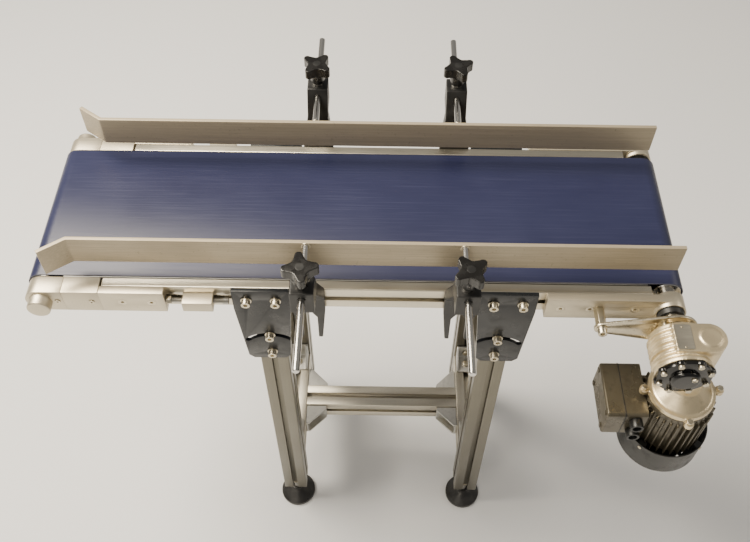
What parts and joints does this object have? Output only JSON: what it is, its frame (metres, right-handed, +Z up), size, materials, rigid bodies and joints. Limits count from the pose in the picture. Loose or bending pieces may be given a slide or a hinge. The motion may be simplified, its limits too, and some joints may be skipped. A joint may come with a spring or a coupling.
{
  "type": "belt conveyor section",
  "caption": "Short flat-belt conveyor section on two slotted-profile leg stands, with adjustable side guides, a screw take-up tail end and a right-angle gearmotor at the drive end.",
  "frame": {"origin": "on the floor, centre of the overall length and of the overall width", "axes": "+X towards the drive end, +Y towards the far side from the gearmotor, +Z up"},
  "size_m": [1.0369, 0.642, 0.9152],
  "materials": {
    "profile_alloy": "natural anodised, satin",
    "bed_sheet": "plain rolled sheet",
    "machined_alloy": "machined and anodised, satin",
    "blue_belt": "smooth polyurethane top, semi-matte",
    "bright_steel": "ground and polished",
    "zinc_steel": "zinc plated",
    "brushed_stainless": "brushed along its length",
    "black_plate": "black, satin",
    "black_nylon": "moulded, fine texture",
    "cast_alloy": "die cast, lightly blasted",
    "motor_paint": "grey enamel over casting",
    "bronze": "machined bronze"
  },
  "bodies": {
    "frame": {"bed_cross_members": "machined_alloy", "cable_glands": "black_nylon", "clamp_collars": "bright_steel", "conveyor_belt": "blue_belt", "corner_gussets": "cast_alloy", "drive_bearings": "bright_steel", "drive_plate_screws": "zinc_steel", "drive_plates": "machined_alloy", "foot_lock_nuts": "zinc_steel", "gearbox_cover": "black_nylon", "gearbox_cover_bolts": "zinc_steel", "gearbox_housing": "cast_alloy", "guide_brackets": "black_nylon", "gusset_screws": "zinc_steel", "leg_plates": "black_plate", "legs_left": "profile_alloy", "legs_right": "profile_alloy", "motor_fan_cowl": "motor_paint", "motor_housing": "motor_paint", "side_frame_back": "profile_alloy", "side_frame_front": "profile_alloy", "slider_bed": "bed_sheet", "slot_screws": "zinc_steel", "stand_bars": "profile_alloy", "tension_reaction_blocks": "machined_alloy", "terminal_box": "motor_paint", "terminal_box_lid": "motor_paint", "torque_arm": "zinc_steel", "torque_arm_fixings": "zinc_steel"},
    "tail_carriage": {"tail_nose_caps": "machined_alloy", "tail_bearing_blocks": "machined_alloy", "tail_slide_blocks": "machined_alloy", "tail_screws": "zinc_steel", "tail_axle": "bright_steel", "tension_jam_nuts": "zinc_steel"},
    "tail_idler": {"tail_roller": "bright_steel", "tail_bearings": "bright_steel"},
    "drive_train": {"drive_roller": "bright_steel", "drive_shaft": "bright_steel", "worm_wheel": "bronze"},
    "motor_rotor": {"worm_shaft": "bright_steel", "motor_fan": "black_nylon"},
    "tension_screw_front": {"tension_screw_front": "zinc_steel"},
    "tension_screw_back": {"tension_screw_back": "zinc_steel"},
    "front_guide": {"guide_rail_front": "brushed_stainless", "guide_rods_front": "bright_steel"},
    "back_guide": {"guide_rail_back": "brushed_stainless", "guide_rods_back": "bright_steel"},
    "knob_front_left": {"clamp_knob_front_left": "black_nylon"},
    "foot_front_left": {"foot_pad_front_left": "black_nylon", "foot_spindle_front_left": "zinc_steel"},
    "knob_front_right": {"clamp_knob_front_right": "black_nylon"},
    "foot_front_right": {"foot_pad_front_right": "black_nylon", "foot_spindle_front_right": "zinc_steel"},
    "knob_back_left": {"clamp_knob_back_left": "black_nylon"},
    "foot_back_left": {"foot_pad_back_left": "black_nylon", "foot_spindle_back_left": "zinc_steel"},
    "knob_back_right": {"clamp_knob_back_right": "black_nylon"},
    "foot_back_right": {"foot_pad_back_right": "black_nylon", "foot_spindle_back_right": "zinc_steel"}
  },
  "joints": [
    {"name": "motor_spin", "type": "hinge", "parent": "frame", "child": "motor_rotor", "pos_m": [0.453, -0.225, 0.6], "axis": [0, 0, 1], "continuous": true},
    {"name": "drive_spin", "type": "hinge", "parent": "frame", "child": "drive_train", "pos_m": [0.42, 0, 0.7635], "axis": [0, 1, 0], "continuous": true},
    {"name": "tail_takeup", "type": "slide", "parent": "frame", "child": "tail_carriage", "axis": [1, 0, 0], "range_m": [0, 0.003]},
    {"name": "tail_spin", "type": "hinge", "parent": "tail_carriage", "child": "tail_idler", "pos_m": [-0.494, 0, 0.7635], "axis": [0, 1, 0], "continuous": true},
    {"name": "tension_screw_front_turn", "type": "hinge", "parent": "tail_carriage", "child": "tension_screw_front", "pos_m": [-0.274, -0.1495, 0.7635], "axis": [1, 0, 0], "range_deg": [0, 865]},
    {"name": "tension_screw_back_turn", "type": "hinge", "parent": "tail_carriage", "child": "tension_screw_back", "pos_m": [-0.274, 0.1495, 0.7635], "axis": [1, 0, 0], "range_deg": [0, 865]},
    {"name": "front_guide_slide", "type": "slide", "parent": "frame", "child": "front_guide", "axis": [0, 1, 0], "range_m": [-0.025, 0.09]},
    {"name": "back_guide_slide", "type": "slide", "parent": "frame", "child": "back_guide", "axis": [0, 1, 0], "range_m": [-0.09, 0.025]},
    {"name": "knob_front_left_turn", "type": "hinge", "parent": "frame", "child": "knob_front_left", "pos_m": [-0.105, -0.1975, 0.9], "axis": [0, 0, 1], "range_deg": [0, 360]},
    {"name": "foot_front_left_adjust", "type": "slide", "parent": "frame", "child": "foot_front_left", "axis": [0, 0, 1], "range_m": [-0.012, 0.02]},
    {"name": "knob_front_right_turn", "type": "hinge", "parent": "frame", "child": "knob_front_right", "pos_m": [0.117, -0.1975, 0.9], "axis": [0, 0, 1], "range_deg": [0, 360]},
    {"name": "foot_front_right_adjust", "type": "slide", "parent": "frame", "child": "foot_front_right", "axis": [0, 0, 1], "range_m": [-0.012, 0.02]},
    {"name": "knob_back_left_turn", "type": "hinge", "parent": "frame", "child": "knob_back_left", "pos_m": [-0.105, 0.1975, 0.9], "axis": [0, 0, 1], "range_deg": [0, 360]},
    {"name": "foot_back_left_adjust", "type": "slide", "parent": "frame", "child": "foot_back_left", "axis": [0, 0, 1], "range_m": [-0.012, 0.02]},
    {"name": "knob_back_right_turn", "type": "hinge", "parent": "frame", "child": "knob_back_right", "pos_m": [0.117, 0.1975, 0.9], "axis": [0, 0, 1], "range_deg": [0, 360]},
    {"name": "foot_back_right_adjust", "type": "slide", "parent": "frame", "child": "foot_back_right", "axis": [0, 0, 1], "range_m": [-0.012, 0.02]}
  ],
  "couplings": [
    {"joint": "drive_spin", "follows": "motor_spin", "ratio": 0.033333},
    {"joint": "tail_spin", "follows": "motor_spin", "ratio": 0.033333},
    {"joint": "tension_screw_front_turn", "follows": "tail_takeup", "rad_per_m": 5026.5},
    {"joint": "tension_screw_back_turn", "follows": "tail_takeup", "rad_per_m": 5026.5}
  ]
}
